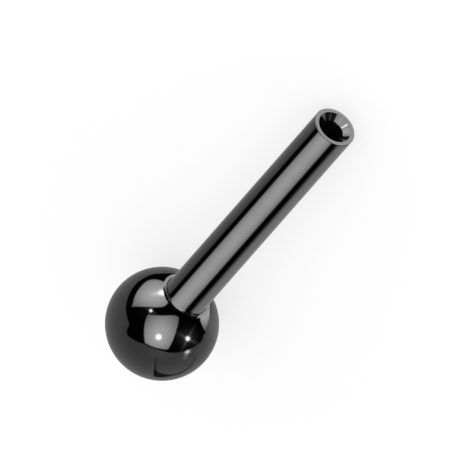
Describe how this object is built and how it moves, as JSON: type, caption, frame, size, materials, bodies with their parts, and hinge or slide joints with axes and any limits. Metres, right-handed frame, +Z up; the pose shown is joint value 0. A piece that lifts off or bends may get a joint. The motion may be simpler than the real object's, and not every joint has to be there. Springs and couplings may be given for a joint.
{
  "type": "threadless barbell",
  "caption": "Body-jewellery barbell with a fixed polished ball and a straight hollow post, open and countersunk at the tip for the pin of a push-in decorative end.",
  "frame": {"origin": "middle of the bounding box, level with the surface that the barbell lies on", "axes": "+Z up, +X from the ball towards the tip, level with the surface, +Y across; the post's own axis dips 5.6 degrees from +X towards the tip, because the ball is wider than the post"},
  "size_m": [0.011, 0.003, 0.003],
  "materials": {
    "ball_metal": "mirror-polished black coating over metal",
    "post_metal": "mirror-polished black coating over metal, duller inside the bore"
  },
  "bodies": {
    "root": {"ball": "ball_metal", "post": "post_metal"}
  },
  "joints": []
}
